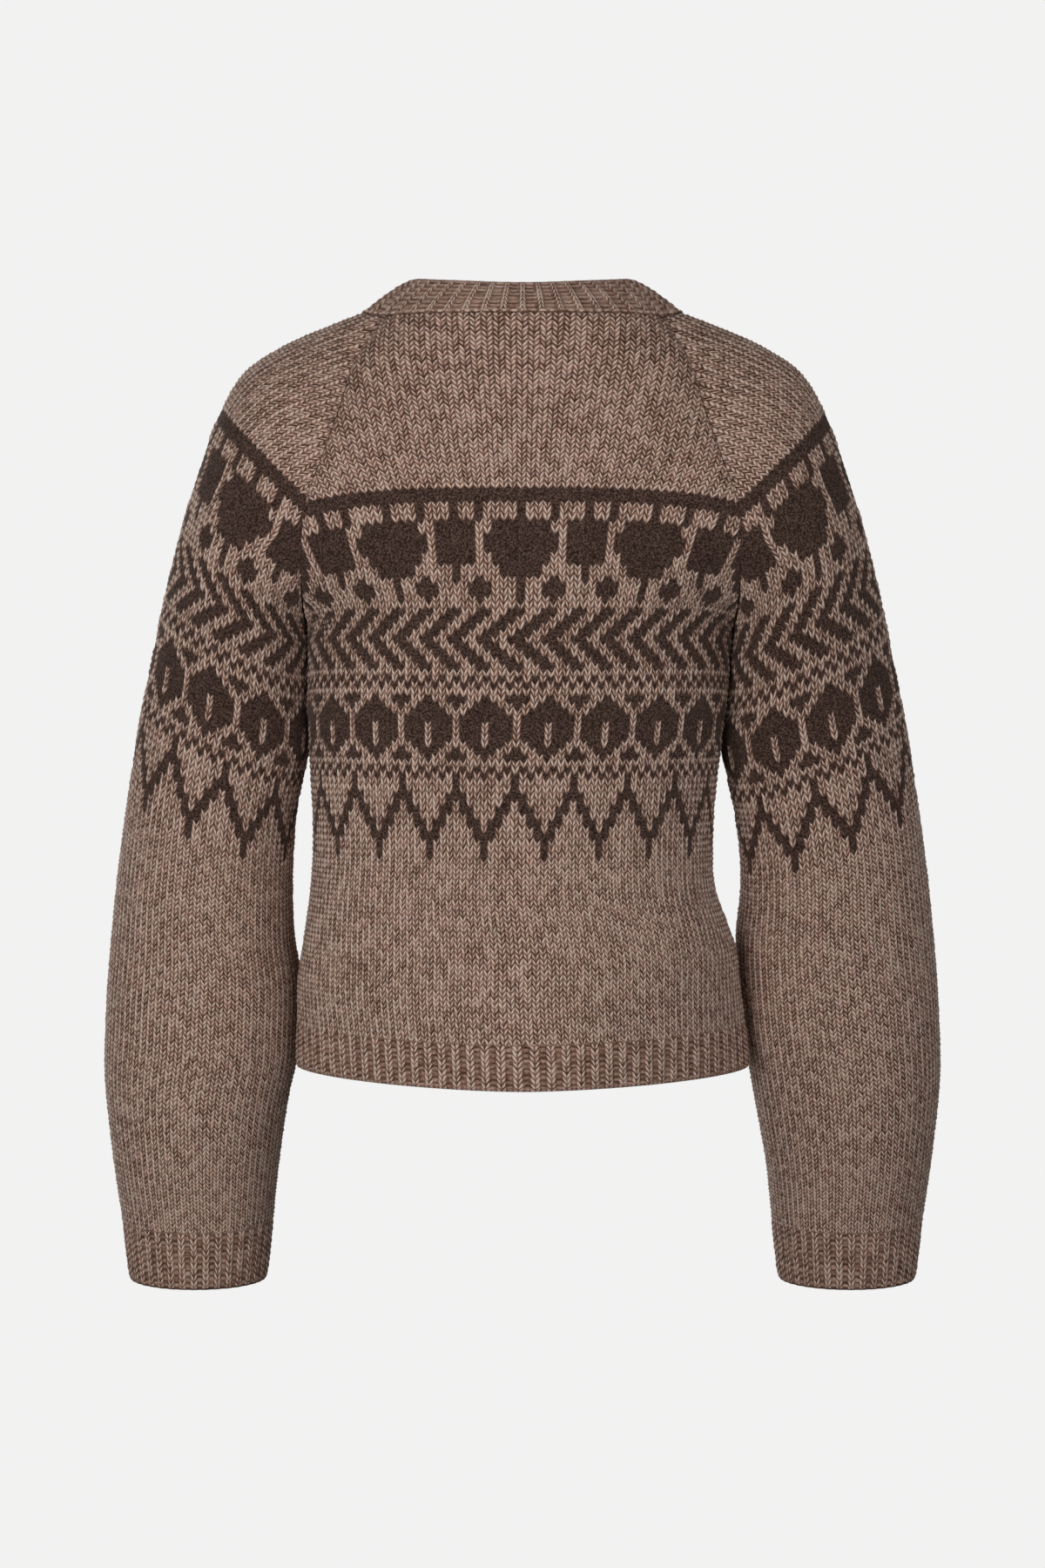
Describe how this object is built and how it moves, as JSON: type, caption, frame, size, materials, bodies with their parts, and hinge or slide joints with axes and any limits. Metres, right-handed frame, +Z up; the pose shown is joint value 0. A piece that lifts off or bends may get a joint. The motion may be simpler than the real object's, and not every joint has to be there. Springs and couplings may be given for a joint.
{
  "type": "nordic yoke sweater",
  "caption": "Long-sleeved raglan sweater with a patterned yoke, and ribbed neckband, hem and cuffs, filled out as when worn.",
  "frame": {"origin": "centre of the neck opening, level with the neck seam at the shoulders", "axes": "+Z up, the front faces -Y and the wearer's left sleeve is at +X"},
  "size_m": [0.6038, 0.2371, 0.7207],
  "materials": {
    "melange_knit": "fuzzy wool-blend stockinette in a brown melange, with near-black brown pattern yarn",
    "melange_rib": "one-by-one rib in the same brown melange"
  },
  "bodies": {
    "root": {"back_panel": "melange_knit", "front_panel": "melange_knit", "sleeve_left": "melange_knit", "sleeve_right": "melange_knit", "neckband": "melange_rib", "hem_rib_back": "melange_rib", "hem_rib_front": "melange_rib", "cuff_left": "melange_rib", "cuff_right": "melange_rib"}
  },
  "joints": []
}
